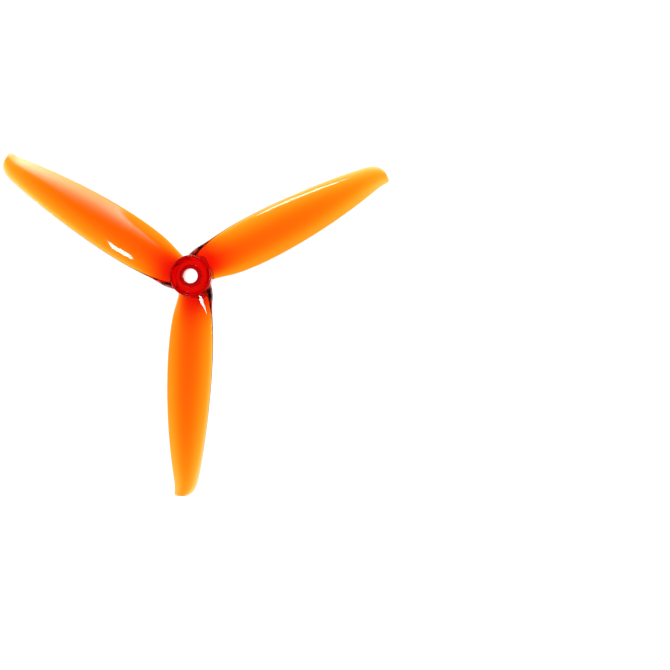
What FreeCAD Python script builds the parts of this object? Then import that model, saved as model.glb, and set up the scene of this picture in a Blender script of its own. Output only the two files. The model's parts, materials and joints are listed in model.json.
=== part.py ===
import FreeCAD, Part
import math
import os
import Sketcher

# A three-blade propeller for a small quadcopter, moulded in one piece. It is modelled as the
# regions of that moulding, which meet face to face: a bore sleeve, a web and a rim for the hub,
# and three twisted blades. Millimetres, +Z up, origin on the bore axis at the motor seat.
# Seen from above the propeller turns anticlockwise: each blade leads with its anticlockwise
# edge, and that edge is the higher one. Blade 1 points along +X.

BLADE_COUNT = 3
PROFILE_STEPS = 18  # spans between points on each side of a blade section
PARTS_FOLDER = "parts"
NEAR = 1e-4  # two lengths closer than this are the same edge

# name, value in millimetres or degrees, meaning
SIZES = [
    ("bore_diameter", 5.0, "shaft hole, for an M5 motor shaft"),
    ("bore_chamfer", 0.15, "lead-in at both ends of the shaft hole"),
    ("sleeve_wall", 1.4, "wall of the sleeve round the shaft hole"),
    ("hub_height", 8.0, "motor seat to nut seat"),
    ("collar_rise", 0.2, "sleeve standing proud of the hub's rim"),
    ("hub_diameter", 14.5, "outside of the rim"),
    ("rim_wall", 1.7, "wall of the rim at its foot"),
    ("rim_round", 0.6, "rounding of the rim's top edge"),
    ("rim_chamfer", 0.3, "chamfer of the rim's bottom edge"),
    ("recess_depth", 3.0, "depth of the ring-shaped hollow under the web"),
    ("dish_depth", 1.4, "how far the web lies below the rim's crest"),
    ("dish_slope", 0.8, "how far the rim's inner wall leans out towards its crest"),
    ("tip_radius", 76.2, "bore axis to the farthest point of a blade"),
    ("blade_width", 16.4, "a blade's widest place, seen from above"),
    ("blade_advance", 120.0, "pitch of the outer blade: advance in one turn"),
    ("root_angle", 26.5, "steepest blade angle, at the root, in degrees"),
    ("axis_height", 4.2, "blade axis above the motor seat, at the bore axis"),
    ("tip_rise", 0.6, "how far the blade axis has risen at the tip"),
    ("blade_thickness", 1.6, "thickest point of the inner sections, beyond the root"),
    ("tip_thickness", 0.75, "thickest point of the tip section"),
    ("root_swell", 2.8, "extra thickness where a blade leaves the rim"),
    ("swell_length", 4.0, "distance over which that swelling fades to about a third"),
    ("leading_edge", 0.85, "thickness just inside the rounded leading edge"),
    ("leading_swell", 2.4, "extra thickness of the leading edge at the rim"),
    ("nose_length", 2.2, "stretch over which a section thins towards its leading edge"),
    ("trailing_edge", 0.8, "thickness just inside the rounded trailing edge"),
    ("camber", 0.045, "rise of the section's middle line, as a share of its chord"),
]

# name, formula over the sizes above, meaning
DERIVED = [
    ("bore_radius", "=bore_diameter / 2", "bore axis to the wall of the shaft hole"),
    ("sleeve_radius", "=bore_diameter / 2 + sleeve_wall", "outside of the sleeve"),
    ("rim_inside", "=hub_diameter / 2 - rim_wall", "inside of the rim at its foot"),
    ("rim_crest", "=hub_diameter / 2 - rim_wall + dish_slope", "inside of the rim at its top"),
    ("rim_outside", "=hub_diameter / 2", "outside of the rim"),
    ("crown", "=hub_height - collar_rise", "height of the rim"),
    ("dish_floor", "=hub_height - collar_rise - dish_depth", "height of the web's top"),
]

# Outline of a blade seen from above. Each row is a section: how far out it is, as a share of the
# span from the rim to the tip, then how far its leading and its trailing edge lie from the blade
# axis, as shares of blade_width. The last rows round the leading corner and turn the trailing
# corner out a little.
SECTIONS = [
    (0.010, 0.411, 0.298),
    (0.092, 0.466, 0.397),
    (0.190, 0.496, 0.460),
    (0.294, 0.497, 0.494),
    (0.416, 0.474, 0.504),
    (0.536, 0.433, 0.492),
    (0.656, 0.379, 0.460),
    (0.778, 0.311, 0.406),
    (0.881, 0.238, 0.342),
    (0.942, 0.177, 0.300),
    (0.971, 0.116, 0.296),
    (0.988, 0.046, 0.300),
    (0.997, -0.020, 0.280),
    (1.000, -0.064, 0.242),
]
# The same three shares, of the hub's radius, for the section that ends the blade inside the hub.
HIDDEN_SECTION = (0.300, 0.765, 0.503)
THINNING = 3  # power that keeps the blade's thickness until it nears the tip
ROUND_STEPS = 4  # spans between points round the trailing edge
NOSE_SHARE = 0.3  # thickness left at the leading edge, outboard, as a share of the nose's
ANGLE_BLEND = 4  # power that joins the limited root angle to the constant pitch


def make_sheet(doc):
    """Put every size in a spreadsheet cell under its own alias."""
    sheet = doc.addObject("Spreadsheet::Sheet", "sizes")
    for row, (name, value, meaning) in enumerate(SIZES + DERIVED, start=1):
        sheet.set(f"A{row}", name)
        sheet.set(f"B{row}", str(value))
        sheet.set(f"C{row}", meaning)
        sheet.setAlias(f"B{row}", name)
    doc.recompute()
    return sheet


# ---- hub: turned pieces -------------------------------------------------------------------


def origin_feature(body, role):
    """Return one of the body's own origin planes or axes."""
    return next(feature for feature in body.Origin.OriginFeatures if feature.Role == role)


def place_corner(sketch, corner, direction, size_name):
    """Tie one coordinate of an outline's corner to a size; an empty name means zero."""
    if not size_name:
        axis = -1 if direction == "DistanceY" else -2
        sketch.addConstraint(Sketcher.Constraint("PointOnObject", corner, 1, axis))
        return
    point = sketch.Geometry[corner].StartPoint
    value = point.x if direction == "DistanceX" else point.y
    index = sketch.addConstraint(Sketcher.Constraint(direction, -1, 1, corner, 1, value))
    name = f"{direction.lower()}_{corner}"
    sketch.renameConstraint(index, name)
    sketch.setExpression(f"Constraints.{name}", f"sizes.{size_name}")


def make_turned(doc, sheet, name, corners):
    """Turn a closed outline of straight sides about the bore axis.

    corners holds a radius and a height for each corner, as names of sizes.
    """
    body = doc.addObject("PartDesign::Body", name)
    sketch = body.newObject("Sketcher::SketchObject", f"{name}_outline")
    sketch.AttachmentSupport = [(origin_feature(body, "XZ_Plane"), "")]
    sketch.MapMode = "FlatFace"
    values = [[sheet.get(size) if size else 0 for size in corner] for corner in corners]
    points = [FreeCAD.Vector(radius, height, 0) for radius, height in values]
    count = len(points)
    for side in range(count):
        sketch.addGeometry(Part.LineSegment(points[side], points[(side + 1) % count]), False)
    for side in range(count):
        sketch.addConstraint(Sketcher.Constraint("Coincident", side, 2, (side + 1) % count, 1))
    for corner, (radius, height) in enumerate(corners):
        place_corner(sketch, corner, "DistanceX", radius)
        place_corner(sketch, corner, "DistanceY", height)
    turned = body.newObject("PartDesign::Revolution", f"{name}_turned")
    turned.Profile = sketch
    turned.ReferenceAxis = (origin_feature(body, "Z_Axis"), [""])
    turned.Angle = 360.0
    doc.recompute()
    return body


def ring_edges(shape, radius, height):
    """Name the circular edges of a shape that have this radius and height."""
    names = []
    for number, edge in enumerate(shape.Edges, start=1):
        curve = edge.Curve
        if not isinstance(curve, Part.Circle):
            continue
        if abs(curve.Radius - radius) < NEAR and abs(curve.Center.z - height) < NEAR:
            names.append(f"Edge{number}")
    return names


def dress_ring(doc, body, kind, size_name, rings):
    """Fillet or chamfer a body's circular edges, each given by its radius and height."""
    base = body.Tip
    names = [name for radius, height in rings for name in ring_edges(base.Shape, radius, height)]
    feature = body.newObject(f"PartDesign::{kind}", f"{body.Name}_{size_name}")
    feature.Base = (base, names)
    feature.setExpression("Radius" if kind == "Fillet" else "Size", f"sizes.{size_name}")
    doc.recompute()


def dress_rim(doc, sheet, body):
    """Round the top outer edge of the hub and chamfer its bottom outer edge."""
    dress_ring(doc, body, "Fillet", "rim_round", [(sheet.rim_outside, sheet.crown)])
    dress_ring(doc, body, "Chamfer", "rim_chamfer", [(sheet.rim_outside, 0)])


def rectangle(inside, outside, bottom, top):
    """List the corners of a ring's upright section, anticlockwise."""
    return [(inside, bottom), (outside, bottom), (outside, top), (inside, top)]


def make_sleeve(doc, sheet):
    """Make the tube round the shaft hole, proud of the hub's top as the nut's seat."""
    outline = rectangle("bore_radius", "sleeve_radius", "", "hub_height")
    body = make_turned(doc, sheet, "bore_sleeve", outline)
    bore = sheet.bore_radius
    dress_ring(doc, body, "Chamfer", "bore_chamfer", [(bore, 0), (bore, sheet.hub_height)])
    return body


def make_web(doc, sheet):
    """Make the ring between sleeve and rim, with a shallow dish above and a hollow below."""
    outline = rectangle("sleeve_radius", "rim_inside", "recess_depth", "dish_floor")
    return make_turned(doc, sheet, "hub_web", outline)


def make_rim(doc, sheet):
    """Make the outer wall of the hub, where the blades start; its inner wall leans out."""
    foot = [("rim_inside", ""), ("rim_outside", "")]
    top = [("rim_outside", "crown"), ("rim_crest", "crown"), ("rim_inside", "dish_floor")]
    body = make_turned(doc, sheet, "hub_rim", foot + top)
    dress_rim(doc, sheet, body)
    return body


def make_root_trim(doc, sheet):
    """Make the form that the blades' roots are cut back to.

    It is the hub's outer form without its bore, and the room kept free above the hub's top.
    """
    outline = rectangle("", "rim_outside", "", "crown")
    envelope = make_turned(doc, sheet, "hub_envelope", outline)
    dress_rim(doc, sheet, envelope)
    headroom = doc.addObject("Part::Cylinder", "nut_headroom")
    headroom.setExpression("Radius", "sizes.rim_outside - sizes.rim_round")
    headroom.setExpression("Height", "2 * sizes.hub_height")
    trim = doc.addObject("Part::Fuse", "root_trim")
    trim.Base = envelope
    trim.Tool = headroom
    return trim


# ---- blades -------------------------------------------------------------------------------


def blade_angle(sheet, radius):
    """Give the blade angle in radians: constant pitch outboard, levelling off at the root."""
    turn = 2 * math.pi * radius
    root_turn = sheet.blade_advance / math.tan(math.radians(float(sheet.root_angle)))
    blended = (turn**ANGLE_BLEND + root_turn**ANGLE_BLEND) ** (1 / ANGLE_BLEND)
    return math.atan(sheet.blade_advance / blended)


def root_fade(sheet, radius):
    """Give how much of the root's swelling is left at a radius: one at the rim, then less."""
    return math.exp(-max(0, radius - sheet.rim_outside) / sheet.swell_length)


def tip_taper(sheet, radius):
    """Give the share of the inner sections' thickness that is left at a radius."""
    span = max(0, radius - sheet.rim_outside) / (sheet.tip_radius - sheet.rim_outside)
    return 1 - (1 - sheet.tip_thickness / sheet.blade_thickness) * span**THINNING


def section_thickness(sheet, radius):
    """Give the thickness of the section at a radius: in its middle, at its nose, at its tail."""
    fade, taper = root_fade(sheet, radius), tip_taper(sheet, radius)
    middle = sheet.blade_thickness * taper + sheet.root_swell * fade
    nose = sheet.leading_edge * taper + sheet.leading_swell * fade
    return middle, nose, sheet.trailing_edge * taper


def wall_between(along, middle, nose, tail):
    """Give a wall that tapers evenly from nose to tail, with a smooth swelling in its middle."""
    wall = nose + (tail - nose) * along
    return wall + (middle - wall) * math.sin(math.pi * along) ** 2


def half_thickness(behind, chord, walls, nose_length, fade):
    """Give half the section's wall at a distance behind the leading edge, and its rounded half.

    walls are the section's thicknesses in its middle, at its nose and at its tail. Outboard the
    wall thins towards the leading edge, which is then rounded; the root, where fade nears one,
    keeps a blunt nose.
    """
    nose = walls[1]
    wall = wall_between(behind / chord, *walls)
    share = NOSE_SHARE + (1 - NOSE_SHARE) * fade
    wall *= 1 - (1 - share) * max(0, 1 - behind / nose_length) ** 2
    into_edge = max(0, 1 - 2 * behind / nose / share)
    return wall / 2, wall / 2 * math.sqrt(1 - into_edge**2)


def section_points(chord, walls, swells, nose_length, fade, camber):
    """List a blade section's points as distances behind the leading edge and above the chord.

    They start on top of the trailing edge, go forward over the section, back below it, and end
    round the trailing edge. The root's swelling, whose share of the walls is swells, hangs below
    the section, and its nose is rounded from above only.
    """
    flat = 1 - walls[-1] / 2 / chord  # the share of the chord before the round trailing edge
    points = []
    for step in range(-PROFILE_STEPS, PROFILE_STEPS + 1):
        along = (1 - math.cos(math.pi * step / PROFILE_STEPS)) / 2 * flat
        wall, half = half_thickness(along * chord, chord, walls, nose_length, fade)
        middle = 4 * camber * chord * along * (1 - along) - fade * (wall - half)
        middle -= wall_between(along, *swells) / 2
        points.append((along * chord, middle - half if step > 0 else middle + half))
    radius = half_thickness(flat * chord, chord, walls, nose_length, fade)[-1]
    middle = 4 * camber * chord * flat * (1 - flat)
    for step in range(1, ROUND_STEPS):
        turn = math.pi * (step / ROUND_STEPS - 1 / 2)
        points.append((flat * chord + radius * math.cos(turn), middle + radius * math.sin(turn)))
    return points


def section_wire(sheet, radius, leading, trailing):
    """Draw one blade section across the X axis, as a closed wire.

    leading and trailing are the distances of its two edges from the blade axis, from above.
    """
    angle = blade_angle(sheet, radius)
    height = sheet.axis_height + radius / sheet.tip_radius * sheet.tip_rise
    front = leading / math.cos(angle)
    chord = (leading + trailing) / math.cos(angle)
    walls = section_thickness(sheet, radius)
    fade = root_fade(sheet, radius)
    swells = (sheet.root_swell * fade, sheet.leading_swell * fade, 0)
    points = []
    for behind, up in section_points(chord, walls, swells, sheet.nose_length, fade, sheet.camber):
        y = (front - behind) * math.cos(angle) - up * math.sin(angle)
        z = height + (front - behind) * math.sin(angle) + up * math.cos(angle)
        points.append(FreeCAD.Vector(radius, y, z))
    curve = Part.BSplineCurve()
    curve.interpolate(points, PeriodicFlag=True)
    return Part.Wire([curve.toShape()])


def make_blade_blank(doc, sheet):
    """Make a whole blade along +X, running on inside the hub.

    Its twisted aerofoil skin is a smooth loft, which sketches with constraints don't give.
    """
    rim, width = sheet.rim_outside, sheet.blade_width
    wires = [section_wire(sheet, *[rim * share for share in HIDDEN_SECTION])]
    for span, leading, trailing in SECTIONS:
        radius = rim + span * (sheet.tip_radius - rim)
        wires.append(section_wire(sheet, radius, leading * width, trailing * width))
    blank = doc.addObject("Part::Feature", "blade_blank")
    blank.Shape = Part.makeLoft(wires, True, False)
    return blank


def make_blade(doc, number, blank, trim):
    """Trim a blade's root to the hub and turn the blade to its place."""
    blade = doc.addObject("Part::Cut", f"blade_{number}")
    blade.Base = blank
    blade.Tool = trim
    turn = 360 / BLADE_COUNT * (number - 1)
    blade.Placement = FreeCAD.Placement(
        FreeCAD.Vector(0, 0, 0), FreeCAD.Rotation(FreeCAD.Vector(0, 0, 1), turn)
    )
    return blade


# ---- the whole part -----------------------------------------------------------------------


def check(doc, pieces):
    """Stop if any object failed, or a piece has no valid closed solid."""
    for item in doc.Objects:
        if "Invalid" in item.State or "Error" in item.State:
            raise RuntimeError(f"{item.Name} is in state {item.State}")
    for piece in pieces:
        if piece.Shape.isNull() or not piece.Shape.isValid() or len(piece.Shape.Solids) != 1:
            raise RuntimeError(f"{piece.Label} is not one valid solid")


def main():
    """Build the propeller and write each piece to its own file."""
    doc = FreeCAD.newDocument("propeller")
    sheet = make_sheet(doc)
    pieces = [make_sleeve(doc, sheet), make_web(doc, sheet), make_rim(doc, sheet)]
    trim = make_root_trim(doc, sheet)
    blank = make_blade_blank(doc, sheet)
    for number in range(1, BLADE_COUNT + 1):
        pieces.append(make_blade(doc, number, blank, trim))
    doc.recompute()
    check(doc, pieces)
    os.makedirs(PARTS_FOLDER, exist_ok=True)
    for piece in pieces:
        piece.Shape.exportStep(os.path.join(PARTS_FOLDER, f"{piece.Label}.step"))
        box = piece.Shape.BoundBox
        print(
            f"{piece.Label}: {piece.Shape.Volume:.2f} mm3,"
            f" x {box.XMin:.2f}..{box.XMax:.2f},"
            f" y {box.YMin:.2f}..{box.YMax:.2f},"
            f" z {box.ZMin:.2f}..{box.ZMax:.2f}"
        )


main()
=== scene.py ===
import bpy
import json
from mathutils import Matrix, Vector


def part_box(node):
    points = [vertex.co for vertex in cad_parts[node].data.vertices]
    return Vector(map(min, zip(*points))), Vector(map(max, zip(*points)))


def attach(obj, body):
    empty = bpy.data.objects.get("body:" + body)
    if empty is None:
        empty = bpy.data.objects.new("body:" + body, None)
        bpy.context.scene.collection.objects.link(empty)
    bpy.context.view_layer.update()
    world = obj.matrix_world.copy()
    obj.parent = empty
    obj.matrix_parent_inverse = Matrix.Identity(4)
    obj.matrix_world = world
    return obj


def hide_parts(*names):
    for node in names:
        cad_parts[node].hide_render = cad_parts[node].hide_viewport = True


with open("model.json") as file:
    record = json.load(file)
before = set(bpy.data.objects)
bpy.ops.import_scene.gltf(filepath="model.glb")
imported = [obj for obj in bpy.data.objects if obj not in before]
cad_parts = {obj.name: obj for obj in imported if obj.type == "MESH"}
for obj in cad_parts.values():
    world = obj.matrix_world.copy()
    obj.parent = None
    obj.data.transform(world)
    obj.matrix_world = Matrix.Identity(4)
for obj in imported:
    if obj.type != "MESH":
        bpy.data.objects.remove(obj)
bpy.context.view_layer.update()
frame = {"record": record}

import json
import logging
import math
from collections.abc import Callable, Sequence
from dataclasses import dataclass, field
from enum import Enum

import bmesh
import bpy
from mathutils import Matrix, Vector

# A three-blade propeller for a small quadcopter, moulded in clear orange plastic, lying on its
# motor seat on a white light table. Metres, +Z up, origin on the bore axis at the seat.

log = logging.getLogger("propeller")
MM = 0.001


# ---- working in edit mode -----------------------------------------------------------------


def only(thing: bpy.types.Object) -> None:
    """Select one object and make it active, with everything else deselected."""
    bpy.ops.object.select_all(action="DESELECT")
    thing.select_set(True)
    bpy.context.view_layer.objects.active = thing


def pick(thing: bpy.types.Object, wanted: Callable[[bmesh.types.BMVert], bool]) -> None:
    """Select, in edit mode, the vertices that a test accepts.

    Args:
        thing: the object being edited.
        wanted: says of each vertex whether it is selected.
    """
    mesh = bmesh.from_edit_mesh(thing.data)
    for part in (*mesh.faces, *mesh.edges):
        part.select = False
    for vertex in mesh.verts:
        vertex.select = wanted(vertex)
    mesh.select_flush(True)
    bmesh.update_edit_mesh(thing.data)


def finish_modifiers(thing: bpy.types.Object) -> None:
    """Apply an object's modifiers in their order."""
    only(thing)
    for name in [modifier.name for modifier in thing.modifiers]:
        bpy.ops.object.modifier_apply(modifier=name)


def copy_turned(thing: bpy.types.Object, name: str, turn: float) -> bpy.types.Object:
    """Copy an object with its own mesh, turned about the bore axis.

    Args:
        thing: the object to copy.
        name: the copy's name.
        turn: angle in radians, anticlockwise from above.

    Returns:
        The copy, its turn taken up by its mesh.
    """
    only(thing)
    bpy.ops.object.duplicate()
    copy = bpy.context.object
    copy.name = copy.data.name = name
    copy.matrix_world = Matrix.Rotation(turn, 4, "Z")
    bpy.ops.object.transform_apply(location=True, rotation=True, scale=True)
    return copy


# ---- finishes -----------------------------------------------------------------------------


class Region(Enum):
    """A region of the moulding, by the record's material slot."""

    HUB = "clear_orange_hub"
    BLADE = "clear_orange_blade"


def add_socket(group: bpy.types.NodeTree, name: str, way: str, kind: str, value: float = 0.0):
    """Add a named input or output to a node group."""
    socket = group.interface.new_socket(name=name, in_out=way, socket_type=kind)
    if way == "INPUT" and kind == "NodeSocketFloat":
        socket.default_value = value


def moulded_skin_group() -> bpy.types.NodeTree:
    """Make the skin that a polished mould leaves: slow waves, faint flow lines, fine scuffs.

    Returns:
        A node group with inputs for the size and strength of each, and outputs for the height of
        the surface, its roughness and the tint of the dye.
    """
    group = bpy.data.node_groups.new("moulded_skin", "ShaderNodeTree")
    add_socket(group, "Wave Scale", "INPUT", "NodeSocketFloat", 90.0)
    add_socket(group, "Wave Height", "INPUT", "NodeSocketFloat", 1.0)
    add_socket(group, "Scuff Scale", "INPUT", "NodeSocketFloat", 900.0)
    add_socket(group, "Scuff Amount", "INPUT", "NodeSocketFloat", 0.1)
    add_socket(group, "Polish", "INPUT", "NodeSocketFloat", 0.03)
    add_socket(group, "Dye Change", "INPUT", "NodeSocketFloat", 0.05)
    add_socket(group, "Height", "OUTPUT", "NodeSocketFloat")
    add_socket(group, "Roughness", "OUTPUT", "NodeSocketFloat")
    add_socket(group, "Tint", "OUTPUT", "NodeSocketColor")
    nodes, links = group.nodes, group.links
    given = nodes.new("NodeGroupInput")
    result = nodes.new("NodeGroupOutput")
    place = nodes.new("ShaderNodeTexCoord")

    waves = nodes.new("ShaderNodeTexNoise")
    waves.inputs["Detail"].default_value = 1.5
    waves.inputs["Roughness"].default_value = 0.35
    links.new(place.outputs["Object"], waves.inputs["Vector"])
    links.new(given.outputs["Wave Scale"], waves.inputs["Scale"])
    height = nodes.new("ShaderNodeMath")
    height.operation = "MULTIPLY"
    links.new(waves.outputs["Fac"], height.inputs[0])
    links.new(given.outputs["Wave Height"], height.inputs[1])
    links.new(height.outputs["Value"], result.inputs["Height"])

    scuffs = nodes.new("ShaderNodeTexNoise")
    scuffs.inputs["Detail"].default_value = 4.0
    scuffs.inputs["Distortion"].default_value = 0.6
    links.new(place.outputs["Object"], scuffs.inputs["Vector"])
    links.new(given.outputs["Scuff Scale"], scuffs.inputs["Scale"])
    worn = nodes.new("ShaderNodeMapRange")
    worn.inputs["From Min"].default_value = 0.55
    worn.inputs["From Max"].default_value = 0.80
    links.new(scuffs.outputs["Fac"], worn.inputs["Value"])
    rough = nodes.new("ShaderNodeMath")
    rough.operation = "MULTIPLY_ADD"
    links.new(worn.outputs["Result"], rough.inputs[0])
    links.new(given.outputs["Scuff Amount"], rough.inputs[1])
    links.new(given.outputs["Polish"], rough.inputs[2])
    links.new(rough.outputs["Value"], result.inputs["Roughness"])

    flow = nodes.new("ShaderNodeTexNoise")
    flow.inputs["Scale"].default_value = 45.0
    flow.inputs["Detail"].default_value = 2.0
    links.new(place.outputs["Object"], flow.inputs["Vector"])
    change = nodes.new("ShaderNodeMath")
    change.operation = "MULTIPLY"
    links.new(flow.outputs["Fac"], change.inputs[0])
    links.new(given.outputs["Dye Change"], change.inputs[1])
    tint = nodes.new("ShaderNodeMix")
    tint.data_type = "RGBA"
    tint.inputs["A"].default_value = (1.0, 1.0, 1.0, 1.0)
    tint.inputs["B"].default_value = (1.0, 0.55, 0.25, 1.0)
    links.new(change.outputs["Value"], tint.inputs["Factor"])
    links.new(tint.outputs["Result"], result.inputs["Tint"])
    return group


@dataclass(frozen=True)
class ClearPlastic:
    """See-through dyed plastic: its colour comes from how far light travels in it."""

    region: Region
    refraction: float = 1.585
    dye_colour: tuple[float, float, float, float] = (0.99, 0.75, 0.0, 1.0)
    dye_density: float = 5150.0
    wave_scale: float = 90.0
    wave_height: float = 1.0
    bump_distance: float = 0.00002
    scuff_scale: float = 900.0
    scuff_amount: float = 0.06
    polish: float = 0.02
    dye_change: float = 0.06

    def make(self, skin: bpy.types.NodeTree) -> bpy.types.Material:
        """Build the material.

        Args:
            skin: the node group of the moulded skin.

        Returns:
            A material for closed shapes in metres.
        """
        material = bpy.data.materials.new(self.region.value)
        material.use_nodes = True
        nodes, links = material.node_tree.nodes, material.node_tree.links
        shader = nodes["Principled BSDF"]
        shader.inputs["Metallic"].default_value = 0.0
        shader.inputs["Transmission Weight"].default_value = 1.0
        shader.inputs["IOR"].default_value = self.refraction
        surface = nodes.new("ShaderNodeGroup")
        surface.node_tree = skin
        surface.inputs["Wave Scale"].default_value = self.wave_scale
        surface.inputs["Wave Height"].default_value = self.wave_height
        surface.inputs["Scuff Scale"].default_value = self.scuff_scale
        surface.inputs["Scuff Amount"].default_value = self.scuff_amount
        surface.inputs["Polish"].default_value = self.polish
        surface.inputs["Dye Change"].default_value = self.dye_change
        bump = nodes.new("ShaderNodeBump")
        bump.inputs["Strength"].default_value = 1.0
        bump.inputs["Distance"].default_value = self.bump_distance
        links.new(surface.outputs["Height"], bump.inputs["Height"])
        links.new(bump.outputs["Normal"], shader.inputs["Normal"])
        links.new(surface.outputs["Roughness"], shader.inputs["Roughness"])
        links.new(surface.outputs["Tint"], shader.inputs["Base Color"])
        dye = nodes.new("ShaderNodeVolumeAbsorption")
        dye.inputs["Color"].default_value = self.dye_colour
        dye.inputs["Density"].default_value = self.dye_density
        links.new(dye.outputs["Volume"], nodes["Material Output"].inputs["Volume"])
        return material


# ---- hub ----------------------------------------------------------------------------------


@dataclass
class TurnedRing:
    """A ring of the hub, turned about the bore axis; its inner wall may lean out at the top."""

    node: str
    inside: float
    outside: float
    bottom: float
    top: float
    roundings: dict[tuple[bool, bool], float] = field(default_factory=dict)
    lean: float = 0.0
    lean_depth: float = 0.0
    steps: int = 160
    rounding_segments: int = 8

    def build(self) -> bpy.types.Object:
        """Model the ring.

        A plane the size of the section has its corners rounded, and its outline is spun about
        the bore axis. A rounding's key says whether it is an outer and whether a top corner.

        Returns:
            The ring, a closed mesh.
        """
        centre = Vector(((self.inside + self.outside) / 2, 0.0, (self.bottom + self.top) / 2))
        bpy.ops.object.select_all(action="DESELECT")
        bpy.ops.mesh.primitive_plane_add(size=1.0)
        ring = bpy.context.object
        ring.name = ring.data.name = self.node
        bpy.ops.object.mode_set(mode="EDIT")
        bpy.ops.mesh.select_all(action="SELECT")
        width, height = self.outside - self.inside, self.top - self.bottom
        bpy.ops.transform.resize(value=(width, height, 1.0), center_override=(0.0, 0.0, 0.0))
        bpy.ops.transform.rotate(
            value=-math.pi / 2, orient_axis="X", center_override=(0.0, 0.0, 0.0)
        )
        bpy.ops.transform.translate(value=centre)
        if self.lean:
            self.lean_wall(ring)
        corners = {
            (outer, upper): Vector(
                (self.outside if outer else self.inside, 0.0, self.top if upper else self.bottom)
            )
            for outer in (False, True)
            for upper in (False, True)
        }
        corners[False, True].x += self.lean
        for corner, radius in self.roundings.items():
            pick(ring, lambda vertex, at=corners[corner]: (vertex.co - at).length < 0.01 * MM)
            bpy.ops.mesh.bevel(
                offset=radius, segments=self.rounding_segments, affect="VERTICES", profile=0.5
            )
        bpy.ops.mesh.select_all(action="SELECT")
        bpy.ops.mesh.delete(type="ONLY_FACE")
        bpy.ops.mesh.select_all(action="SELECT")
        bpy.ops.mesh.spin(
            steps=self.steps, angle=math.tau, center=(0.0, 0.0, 0.0), axis=(0.0, 0.0, 1.0)
        )
        bpy.ops.mesh.select_all(action="SELECT")
        bpy.ops.mesh.remove_doubles(threshold=0.001 * MM)
        bpy.ops.mesh.normals_make_consistent(inside=False)
        bpy.ops.object.mode_set(mode="OBJECT")
        only(ring)
        bpy.ops.object.shade_smooth_by_angle(angle=math.radians(35))
        return ring

    def lean_wall(self, ring: bpy.types.Object) -> None:
        """Split the inner wall and lean its upper part out to the crest.

        Args:
            ring: the section being edited.
        """
        near = 0.01 * MM
        pick(ring, lambda vertex: abs(vertex.co.x - self.inside) < near)
        bpy.ops.mesh.subdivide(number_cuts=1)
        middle = (self.bottom + self.top) / 2
        pick(ring, lambda v: abs(v.co.x - self.inside) < near and abs(v.co.z - middle) < near)
        rise = self.top - self.lean_depth - middle
        bpy.ops.transform.translate(value=(0.0, 0.0, rise))
        pick(ring, lambda v: abs(v.co.x - self.inside) < near and abs(v.co.z - self.top) < near)
        bpy.ops.transform.translate(value=(self.lean, 0.0, 0.0))


@dataclass
class Hub:
    """The hub: a sleeve round the shaft, a web and a rim, each a hair apart from the next."""

    finish: bpy.types.Material
    gap: float = 0.012 * MM
    bore_lead_in: float = 0.15 * MM
    collar_round: float = 0.15 * MM
    rim_top_round: float = 0.6 * MM
    rim_bottom_round: float = 0.3 * MM
    crest_round: float = 0.2 * MM
    rim_lean: float = 0.8 * MM

    def build(self) -> list[bpy.types.Object]:
        """Model and dress the hub's three rings.

        Returns:
            The sleeve, the web and the rim.
        """
        sleeve_low, sleeve_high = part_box("bore_sleeve")
        web_low, web_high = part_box("hub_web")
        rim_low, rim_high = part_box("hub_rim")
        bore = frame["record"]["mounts"][0]["dims"]["r_mm"] * MM
        rings = [
            TurnedRing(
                "bore_sleeve",
                bore,
                sleeve_high[0] - self.gap,
                sleeve_low[2],
                sleeve_high[2],
                {
                    (False, False): self.bore_lead_in,
                    (False, True): self.bore_lead_in,
                    (True, True): self.collar_round,
                    (True, False): self.collar_round,
                },
            ),
            TurnedRing(
                "hub_web",
                sleeve_high[0] + self.gap,
                web_high[0] - self.gap,
                web_low[2],
                web_high[2],
            ),
            TurnedRing(
                "hub_rim",
                web_high[0] + self.gap,
                rim_high[0],
                rim_low[2],
                rim_high[2],
                {
                    (True, True): self.rim_top_round,
                    (True, False): self.rim_bottom_round,
                    (False, True): self.crest_round,
                },
                lean=self.rim_lean,
                lean_depth=rim_high[2] - web_high[2],
            ),
        ]
        pieces = []
        for ring in rings:
            piece = ring.build()
            piece.name = piece.data.name = f"clear_{ring.node}"
            piece.data.materials.append(self.finish)
            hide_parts(ring.node)
            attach(piece, "root")
            pieces.append(piece)
        return pieces


# ---- blades -------------------------------------------------------------------------------


def smooth_between(points: Sequence[tuple[float, float]], where: float) -> float:
    """Read a smooth curve through some points.

    Args:
        points: positions along the curve, rising, each with its value.
        where: the position to read.

    Returns:
        The value there, on cubic pieces whose slopes follow the neighbouring points.
    """
    last = len(points) - 1
    index = next((i for i in range(last) if where <= points[i + 1][0]), last - 1)

    def slope(i: int) -> float:
        """Give the slope at a point from the points beside it."""
        (before, low), (after, high) = points[max(i - 1, 0)], points[min(i + 1, last)]
        return (high - low) / (after - before)

    (start, value), (end, target) = points[index], points[index + 1]
    step = end - start
    t = (where - start) / step
    return (
        (2 * t**3 - 3 * t**2 + 1) * value
        + (t**3 - 2 * t**2 + t) * step * slope(index)
        + (3 * t**2 - 2 * t**3) * target
        + (t**3 - t**2) * step * slope(index + 1)
    )


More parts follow.
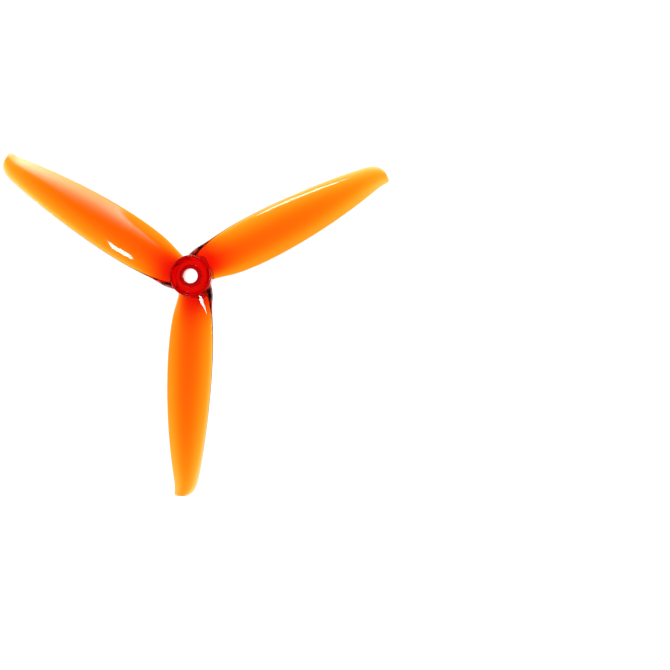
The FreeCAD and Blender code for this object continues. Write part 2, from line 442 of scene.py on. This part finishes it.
@dataclass
class Blade:
    """A twisted aerofoil blade along +X, leading with its +Y edge."""

    finish: bpy.types.Material
    hub_radius: float = 7.25 * MM
    tip_radius: float = 76.2 * MM
    width: float = 16.4 * MM
    advance: float = 120.0 * MM
    root_angle: float = math.radians(26.5)
    angle_blend: int = 4
    axis_height: float = 4.2 * MM
    tip_rise: float = 0.6 * MM
    thickness: float = 1.6 * MM
    tip_thickness: float = 0.75 * MM
    thinning: int = 3
    root_swell: float = 2.8 * MM
    swell_length: float = 4.0 * MM
    leading_edge: float = 0.85 * MM
    leading_swell: float = 2.4 * MM
    nose_length: float = 2.2 * MM
    nose_share: float = 0.3
    trailing_edge: float = 0.8 * MM
    least_thickness: float = 0.05 * MM
    camber: float = 0.045
    tip_round: float = 0.4 * MM
    sunk: float = 0.15 * MM
    seam: float = 0.02 * MM
    rows: int = 60
    columns: int = 32
    # share of the span from rim to tip, then the leading and the trailing edge's distance from
    # the blade axis as shares of the width
    outline: tuple[tuple[float, float, float], ...] = (
        (0.010, 0.411, 0.298),
        (0.092, 0.466, 0.397),
        (0.190, 0.496, 0.460),
        (0.294, 0.497, 0.494),
        (0.416, 0.474, 0.504),
        (0.536, 0.433, 0.492),
        (0.656, 0.379, 0.460),
        (0.778, 0.311, 0.406),
        (0.881, 0.238, 0.342),
        (0.942, 0.177, 0.300),
        (0.971, 0.116, 0.296),
        (0.988, 0.046, 0.300),
        (0.997, -0.020, 0.280),
        (1.000, -0.064, 0.242),
    )
    # the same for the section inside the hub, all as shares of the hub's radius
    hidden: tuple[float, float, float] = (0.300, 0.765, 0.503)

    def angle(self, radius: float) -> float:
        """Give the blade angle: constant pitch outboard, levelling off at the root."""
        power = self.angle_blend
        turn = math.tau * radius
        root_turn = self.advance / math.tan(self.root_angle)
        return math.atan(self.advance / (turn**power + root_turn**power) ** (1 / power))

    def root_fade(self, radius: float) -> float:
        """Give how much of the root's swelling is left at a radius."""
        return math.exp(-max(0.0, radius - self.hub_radius) / self.swell_length)

    def tip_taper(self, radius: float) -> float:
        """Give the share of the inner sections' thickness that is left at a radius."""
        span = max(0.0, radius - self.hub_radius) / (self.tip_radius - self.hub_radius)
        return 1 - (1 - self.tip_thickness / self.thickness) * span**self.thinning

    def thickest(self, radius: float) -> float:
        """Give the greatest thickness of the section at a radius."""
        return self.thickness * self.tip_taper(radius) + self.root_swell * self.root_fade(radius)

    def wall_between(self, along: float, middle: float, nose: float, tail: float) -> float:
        """Give a wall that tapers from nose to tail, with a smooth swelling in its middle."""
        wall = nose + (tail - nose) * along
        return wall + (middle - wall) * math.sin(math.pi * along) ** 2

    def drop(self, radius: float, along: float, chord: float) -> float:
        """Give how far the root's swelling and its nose, rounded from above, lower the middle."""
        fade = self.root_fade(radius)
        wall, rounded = self.walls(radius, along, chord)
        swell = self.wall_between(along, self.root_swell * fade, self.leading_swell * fade, 0.0)
        return (fade * (wall - rounded) + swell) / 2

    def walls(self, radius: float, along: float, chord: float) -> tuple[float, float]:
        """Give the wall at a place on the blade, before and after its edges are rounded.

        Args:
            radius: distance from the bore axis.
            along: share of the chord behind the leading edge.
            chord: the section's length.

        Returns:
            The full thickness without and with the rounding of the leading edge.
        """
        taper, fade = self.tip_taper(radius), self.root_fade(radius)
        nose = self.leading_edge * taper + self.leading_swell * fade
        wall = self.wall_between(along, self.thickest(radius), nose, self.trailing_edge * taper)
        share = self.nose_share + (1 - self.nose_share) * fade
        wall *= 1 - (1 - share) * max(0.0, 1 - along * chord / self.nose_length) ** 2
        into_edge = max(0.0, 1 - 2 * along * chord / nose / share)
        return wall, wall * math.sqrt(1 - into_edge**2)

    def thickness_at(self, radius: float, along: float, chord: float) -> float:
        """Give the thickness at a place on the blade with all its edges rounded."""
        rounded = self.walls(radius, along, chord)[1]
        tail = self.trailing_edge * self.tip_taper(radius)
        into_tail = max(0.0, 1 - (1 - along) * chord / (tail / 2))
        into_tip = max(0.0, 1 - (self.tip_radius - radius) / self.tip_round)
        rounded *= math.sqrt((1 - into_tail**2) * (1 - into_tip**2))
        return max(self.least_thickness, rounded)

    def edges(self, radius: float) -> tuple[float, float]:
        """Give the leading and the trailing edge's distance from the blade axis, from above."""
        inner, front, back = (share * self.hub_radius for share in self.hidden)
        span = self.tip_radius - self.hub_radius
        places = [inner] + [self.hub_radius + row[0] * span for row in self.outline]
        fronts = [front] + [row[1] * self.width for row in self.outline]
        backs = [back] + [row[2] * self.width for row in self.outline]
        leading = smooth_between(list(zip(places, fronts)), radius)
        trailing = smooth_between(list(zip(places, backs)), radius)
        return leading, trailing

    def row_radius(self, row: int) -> float:
        """Give a row's distance from the bore axis; rows crowd together towards the tip."""
        inner = self.hidden[0] * self.hub_radius
        share = 1 - (1 - row / self.rows) ** 1.7
        return inner + share * (self.tip_radius - inner)

    def column_share(self, column: int) -> float:
        """Give a column's share of the chord; columns crowd together at both edges."""
        return (1 - math.cos(math.pi * column / self.columns)) / 2

    def build(self) -> bpy.types.Object:
        """Model the blade.

        A grid becomes the section's cambered middle line, one chord long. Each of its rows is
        scaled to its chord, turned to the blade angle and moved out to its radius. Solidify then
        gives it the aerofoil's thickness from a weight at each vertex, and the hub's round form
        cuts off its root.

        Returns:
            The blade, a closed mesh.
        """
        bpy.ops.object.select_all(action="DESELECT")
        bpy.ops.mesh.primitive_grid_add(
            x_subdivisions=self.rows, y_subdivisions=self.columns, size=1.0
        )
        blade = bpy.context.object
        blade.name = blade.data.name = "clear_blade_1"
        across = self.rows + 1
        bpy.ops.object.mode_set(mode="EDIT")
        bpy.ops.mesh.select_mode(type="VERT")
        for column in range(self.columns + 1):
            along = self.column_share(column)
            pick(blade, lambda vertex, c=column: vertex.index // across == c)
            start = column / self.columns - 0.5
            rise = 4 * self.camber * along * (1 - along)
            bpy.ops.transform.translate(value=(0.0, -along - start, rise))
        for row in range(across):
            self.place_row(blade, row, across)
        bpy.ops.mesh.select_all(action="SELECT")
        bpy.ops.mesh.normals_make_consistent(inside=False)
        bpy.ops.object.mode_set(mode="OBJECT")
        self.thicken(blade, across)
        self.trim_root(blade)
        blade.data.materials.append(self.finish)
        return blade

    def place_row(self, blade: bpy.types.Object, row: int, across: int) -> None:
        """Scale, turn and move one row of the grid to its section.

        Args:
            blade: the blade being edited.
            row: the row's number, from the root.
            across: how many rows there are.
        """
        radius = self.row_radius(row)
        angle = self.angle(radius)
        leading, trailing = self.edges(radius)
        chord = (leading + trailing) / math.cos(angle)
        axis = (0.0, 0.0, 0.0)
        pick(blade, lambda vertex: vertex.index % across == row)
        bpy.ops.transform.resize(value=(1.0, chord, chord), center_override=axis)
        out = radius - (row / self.rows - 0.5)
        bpy.ops.transform.translate(value=(out, leading / math.cos(angle), 0.0))
        self.lower_root(blade, row, across, chord)
        pick(blade, lambda vertex: vertex.index % across == row)
        bpy.ops.transform.rotate(value=-angle, orient_axis="X", center_override=axis)
        height = self.axis_height + radius / self.tip_radius * self.tip_rise
        bpy.ops.transform.translate(value=(0.0, 0.0, height))

    def lower_root(self, blade: bpy.types.Object, row: int, across: int, chord: float) -> None:
        """Lower the places of one row where the root is swollen, so that it swells downwards.

        Args:
            blade: the blade being edited, the row still level.
            row: the row's number, from the root.
            across: how many rows there are.
            chord: the section's length.
        """
        for column in range(self.columns):
            drop = self.drop(self.row_radius(row), self.column_share(column), chord)
            if drop > self.least_thickness / 4:
                number = column * across + row
                pick(blade, lambda vertex, n=number: vertex.index == n)
                bpy.ops.transform.translate(value=(0.0, 0.0, -drop))

    def thicken(self, blade: bpy.types.Object, across: int) -> None:
        """Give the middle surface its aerofoil thickness and smooth it.

        Args:
            blade: the blade as an open surface.
            across: how many rows there are.
        """
        most = self.thickest(self.hub_radius)
        weights = blade.vertex_groups.new(name="thickness")
        for vertex in blade.data.vertices:
            column, row = divmod(vertex.index, across)
            radius = self.row_radius(row)
            chord = sum(self.edges(radius)) / math.cos(self.angle(radius))
            wall = self.thickness_at(radius, self.column_share(column), chord)
            weights.add([vertex.index], wall / most, "REPLACE")
        solid = blade.modifiers.new("thickness", "SOLIDIFY")
        solid.thickness = most
        solid.offset = 0.0
        solid.vertex_group = "thickness"
        solid.use_even_offset = False
        smooth = blade.modifiers.new("smooth", "SUBSURF")
        smooth.levels = smooth.render_levels = 1
        finish_modifiers(blade)
        blade.vertex_groups.clear()

    def trim_root(self, blade: bpy.types.Object) -> None:
        """Cut the root back to the hub's rim, which it enters by a hair, and clean the cut."""
        bpy.ops.object.select_all(action="DESELECT")
        bpy.ops.mesh.primitive_cylinder_add(
            vertices=256, radius=self.hub_radius - self.sunk, depth=4 * self.hub_radius
        )
        cutter = bpy.context.object
        cut = blade.modifiers.new("root", "BOOLEAN")
        cut.operation = "DIFFERENCE"
        cut.solver = "EXACT"
        cut.object = cutter
        finish_modifiers(blade)
        bpy.data.objects.remove(cutter, do_unlink=True)
        only(blade)
        bpy.ops.object.mode_set(mode="EDIT")
        cut_radius = self.hub_radius - self.sunk / 2
        pick(blade, lambda vertex: math.hypot(vertex.co.x, vertex.co.y) < cut_radius)
        bpy.ops.mesh.remove_doubles(threshold=self.seam)
        bpy.ops.mesh.dissolve_degenerate(threshold=self.seam)
        bpy.ops.mesh.quads_convert_to_tris(quad_method="BEAUTY", ngon_method="CLIP")
        pick(blade, lambda vertex: len(vertex.link_edges) == 2)  # the ends of folded slivers
        bpy.ops.mesh.delete(type="VERT")
        bpy.ops.mesh.select_all(action="SELECT")
        bpy.ops.mesh.fill_holes(sides=0)
        bpy.ops.mesh.normals_make_consistent(inside=False)
        bpy.ops.object.mode_set(mode="OBJECT")
        bpy.ops.object.shade_smooth_by_angle(angle=math.radians(40))


@dataclass
class BladeSet:
    """The three blades, the first along +X and the rest evenly round the hub."""

    finish: bpy.types.Material
    count: int = 3

    def build(self) -> list[bpy.types.Object]:
        """Model one blade, copy it round the hub and dress the set.

        Returns:
            The blades in their order.
        """
        rim_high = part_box("hub_rim")[1]
        first = Blade(self.finish, hub_radius=rim_high[0]).build()
        blades = [first]
        for number in range(1, self.count):
            turn = math.tau / self.count * number
            blades.append(copy_turned(first, f"clear_blade_{number + 1}", turn))
        for number, blade in enumerate(blades, start=1):
            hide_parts(f"blade_{number}")
            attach(blade, "root")
        return blades


# ---- studio -------------------------------------------------------------------------------


@dataclass
class SoftBox:
    """A level rectangular lamp above the table, its light fading out at its edges.

    across and up are the place of its middle from the hub as the picture has it.
    """

    name: str
    across: float
    up: float
    height: float
    size: tuple[float, float]
    radiance: float
    turn: float = 0.0
    fade: tuple[float, float] = (0.1, 0.1)
    fall: float = 1.0

    def place(self, picture_turn: float) -> None:
        """Hang the lamp.

        Args:
            picture_turn: how far the picture is turned from the propeller, in radians.
        """
        bpy.ops.object.select_all(action="DESELECT")
        bpy.ops.mesh.primitive_plane_add(size=1.0)
        panel = bpy.context.object
        panel.name = panel.data.name = self.name
        panel.scale = (self.size[0], self.size[1], 1.0)
        panel.rotation_euler = (math.pi, 0.0, self.turn - picture_turn)
        place = Vector((self.across, self.up, self.height))
        panel.location = Matrix.Rotation(-picture_turn, 3, "Z") @ place
        panel.data.materials.append(self.glow())
        panel.visible_camera = False

    def glow(self) -> bpy.types.Material:
        """Make the lamp's cloth: bright in its middle, fading over a stretch at each edge."""
        material = bpy.data.materials.new(self.name)
        material.use_nodes = True
        nodes, links = material.node_tree.nodes, material.node_tree.links
        nodes.remove(nodes["Principled BSDF"])
        place = nodes.new("ShaderNodeTexCoord")
        centred = nodes.new("ShaderNodeVectorMath")
        split = nodes.new("ShaderNodeSeparateXYZ")
        links.new(place.outputs["Object"], centred.inputs[0])
        centred.inputs[1].default_value = (0.5, 0.5, 0.5)
        links.new(centred.outputs["Vector"], split.inputs["Vector"])
        shape = nodes.new("ShaderNodeMath")
        shape.operation = "POWER"
        shape.inputs[1].default_value = self.fall
        light = nodes.new("ShaderNodeMath")
        light.operation = "MULTIPLY"
        light.inputs[1].default_value = self.radiance
        links.new(shape.outputs["Value"], light.inputs[0])
        before = shape.inputs[0]
        for axis, stretch in zip("XY", self.fade):
            edge = nodes.new("ShaderNodeMath")
            edge.operation = "PINGPONG"
            edge.inputs[1].default_value = 0.5
            links.new(split.outputs[axis], edge.inputs[0])
            ramp = nodes.new("ShaderNodeMapRange")
            ramp.inputs["From Max"].default_value = stretch
            links.new(edge.outputs["Value"], ramp.inputs["Value"])
            if axis == "X":
                both = nodes.new("ShaderNodeMath")
                both.operation = "MULTIPLY"
                links.new(ramp.outputs["Result"], both.inputs[0])
                links.new(both.outputs["Value"], before)
            else:
                links.new(ramp.outputs["Result"], both.inputs[1])
        emission = nodes.new("ShaderNodeEmission")
        links.new(light.outputs["Value"], emission.inputs["Strength"])
        links.new(emission.outputs["Emission"], nodes["Material Output"].inputs["Surface"])
        return material


@dataclass
class Studio:
    """A white light table in a dim room, soft lamps and a camera straight above."""

    blade_turn: float = 29.25  # blade 1 in the picture, anticlockwise from its right, degrees
    hub_across: float = -49.76 * MM  # hub from the picture's middle, to the right
    hub_up: float = 20.36 * MM
    view_width: float = 232.06 * MM
    camera_height: float = 0.50
    blade_height: float = 4.5 * MM
    sensor: float = 36.0
    table_glow: float = 1.05
    table_size: float = 4.0
    table_drop: float = 0.05 * MM

    def build(self) -> None:
        """Set up the table, the room, the lamps and the camera."""
        self.lay_table()
        self.light_room()
        for lamp in self.lamps():
            lamp.place(math.radians(self.blade_turn))
        self.set_camera()
        bpy.context.scene.view_settings.view_transform = "Standard"
        bpy.context.scene.cycles.max_bounces = 24
        bpy.context.scene.cycles.transmission_bounces = 24

    def lay_table(self) -> None:
        """Lay the white table under the hub's seat."""
        bpy.ops.object.select_all(action="DESELECT")
        bpy.ops.mesh.primitive_plane_add(size=self.table_size, location=(0, 0, -self.table_drop))
        table = bpy.context.object
        table.name = "light_table"
        material = bpy.data.materials.new("white_table")
        material.use_nodes = True
        shader = material.node_tree.nodes["Principled BSDF"]
        shader.inputs["Base Color"].default_value = (0.85, 0.85, 0.85, 1.0)
        shader.inputs["Roughness"].default_value = 0.9
        shader.inputs["Specular IOR Level"].default_value = 0.0
        shader.inputs["Emission Color"].default_value = (1.0, 1.0, 1.0, 1.0)
        shader.inputs["Emission Strength"].default_value = self.table_glow
        table.data.materials.append(material)

    def light_room(self) -> None:
        """Make the room pale near the horizon and dim overhead."""
        world = bpy.data.worlds.new("room")
        bpy.context.scene.world = world
        world.use_nodes = True
        nodes, links = world.node_tree.nodes, world.node_tree.links
        place = nodes.new("ShaderNodeTexCoord")
        split = nodes.new("ShaderNodeSeparateXYZ")
        ramp = nodes.new("ShaderNodeValToRGB")
        links.new(place.outputs["Generated"], split.inputs["Vector"])
        links.new(split.outputs["Z"], ramp.inputs["Fac"])
        ramp.color_ramp.elements[0].position = 0.11
        ramp.color_ramp.elements[0].color = (0.85, 0.85, 0.85, 1.0)
        ramp.color_ramp.elements[1].position = 0.16
        ramp.color_ramp.elements[1].color = (0.04, 0.04, 0.04, 1.0)
        links.new(ramp.outputs["Color"], nodes["Background"].inputs["Color"])

    def lamps(self) -> list[SoftBox]:
        """List the lamps: a large one beyond the hub and small ones nearer to it."""
        return [
            SoftBox(
                "large_softbox",
                0.0944,
                0.5735,
                0.306,
                (0.67, 0.27),
                11.0,
                turn=math.radians(52.3),
                fade=(0.14, 0.48),
                fall=2.2,
            ),
            SoftBox("small_softbox", 0.011, 0.185, 0.306, (0.038, 0.014), 22.0),
            SoftBox(
                "root_softbox", -0.208, 0.026, 0.306, (0.10, 0.006), 20.0, turn=math.radians(-8)
            ),
            SoftBox(
                "edge_softbox", 0.080, 0.020, 0.306, (0.075, 0.022), 15.0, turn=math.radians(68)
            ),
        ]

    def set_camera(self) -> None:
        """Hang the camera over the middle of the picture, looking straight down."""
        turn = math.radians(self.blade_turn)
        right = Vector((math.cos(turn), -math.sin(turn), 0.0))
        up = Vector((math.sin(turn), math.cos(turn), 0.0))
        camera = bpy.data.objects.new("camera", bpy.data.cameras.new("camera"))
        bpy.context.scene.collection.objects.link(camera)
        camera.location = -right * self.hub_across - up * self.hub_up
        camera.location.z = self.camera_height + self.blade_height
        camera.rotation_euler = (0.0, 0.0, -turn)
        camera.data.sensor_width = self.sensor
        camera.data.lens = self.sensor * self.camera_height / self.view_width
        camera.data.clip_start = 0.01
        camera.data.clip_end = 10.0
        bpy.context.scene.camera = camera


def main() -> None:
    """Dress the propeller, light it and note how large it is."""
    logging.basicConfig(level=logging.INFO, format="%(message)s")
    skin = moulded_skin_group()
    # The hub takes a denser, redder copy of the blades' dye: painted shade standing in for the
    # shade that falls under and inside the hub.
    hub_dye_with_painted_shade = (0.982, 0.62, 0.0, 1.0)
    hub_finish = ClearPlastic(Region.HUB, dye_colour=hub_dye_with_painted_shade, polish=0.04).make(skin)
    blade_finish = ClearPlastic(Region.BLADE).make(skin)
    for piece in [*Hub(hub_finish).build(), *BladeSet(blade_finish).build()]:
        log.info("%s: %d faces", piece.name, len(piece.data.polygons))
    Studio().build()


if __name__ == "__main__":
    main()
